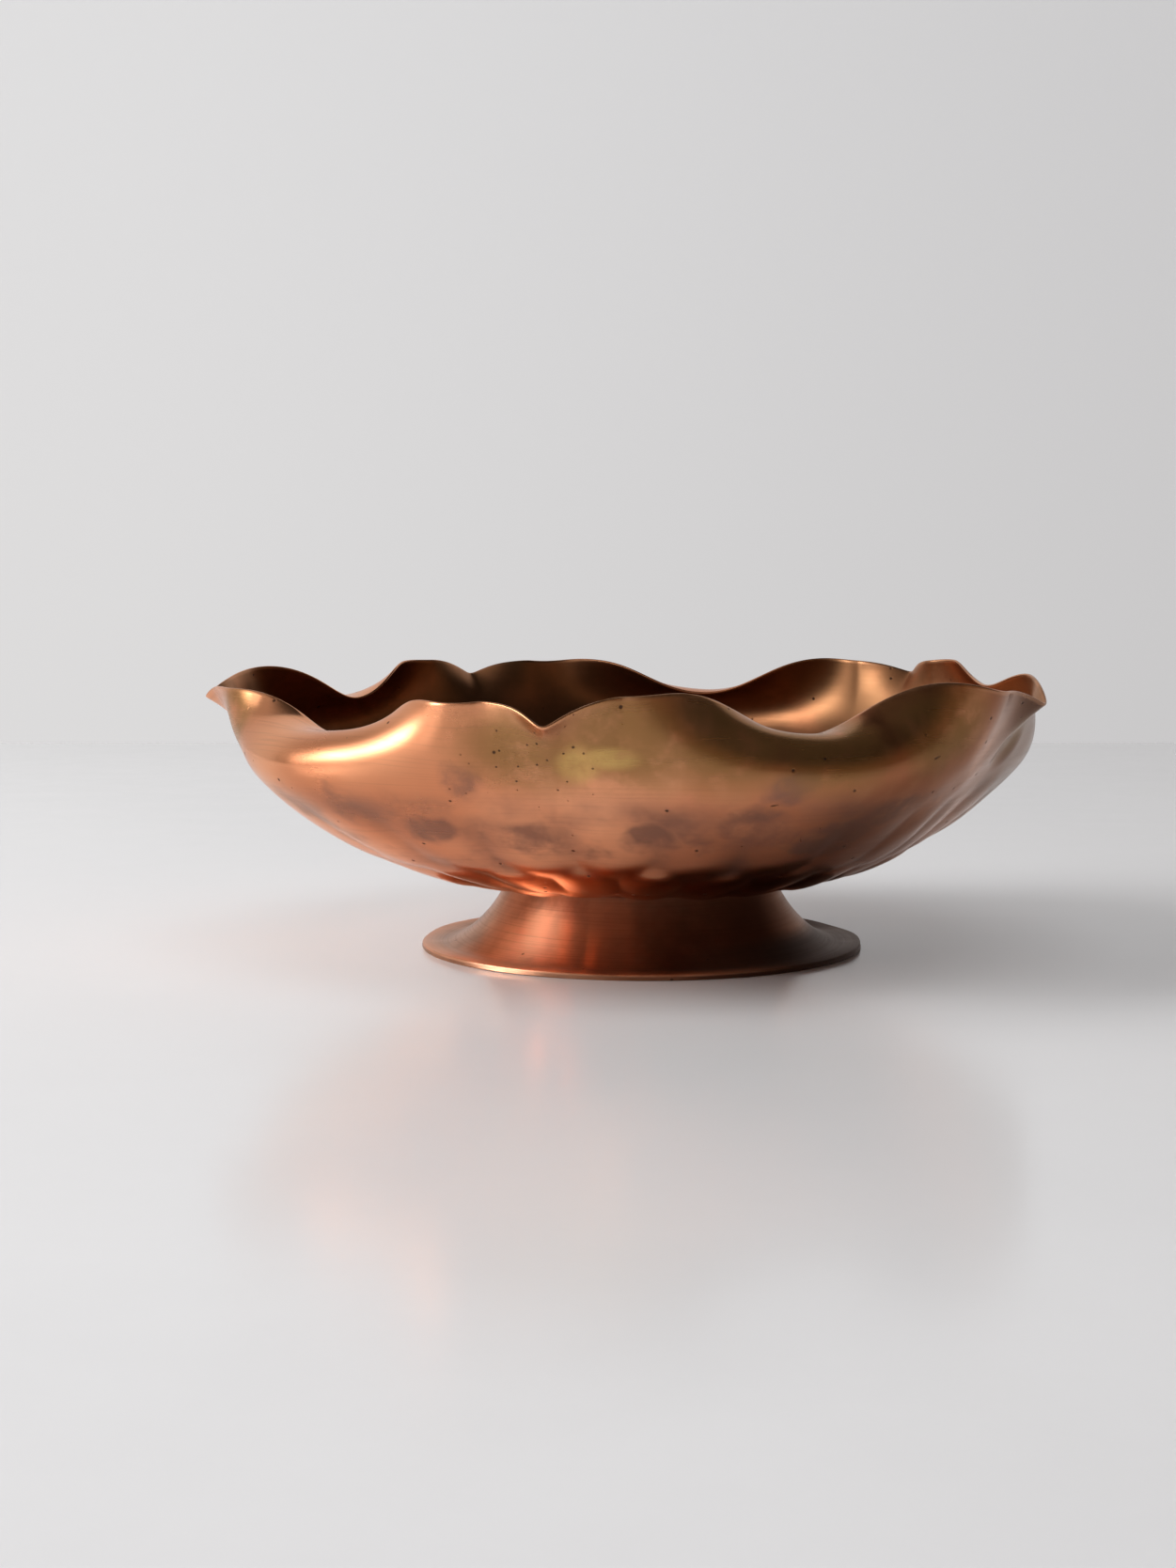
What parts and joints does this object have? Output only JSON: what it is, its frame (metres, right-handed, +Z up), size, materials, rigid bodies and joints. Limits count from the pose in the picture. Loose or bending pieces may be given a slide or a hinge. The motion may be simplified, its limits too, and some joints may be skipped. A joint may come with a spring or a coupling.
{
  "type": "footed copper bowl",
  "caption": "Low footed bowl of hammered copper sheet: a shallow dish with a ruffled rim of beaten notches and rolled-in folds, soldered to a flared, hemmed foot.",
  "frame": {"origin": "centre of the ring under the foot that rests on the table", "axes": "+Z up along the foot's turning axis, -Y towards the front notch's side, +X to the right seen from the front"},
  "size_m": [0.2399, 0.236, 0.0803],
  "materials": {
    "copper_bowl": "satin",
    "copper_foot": "satin",
    "solder": "dull"
  },
  "bodies": {
    "root": {"bowl": "copper_bowl", "foot": "copper_foot", "solder_joint": "solder"}
  },
  "joints": []
}
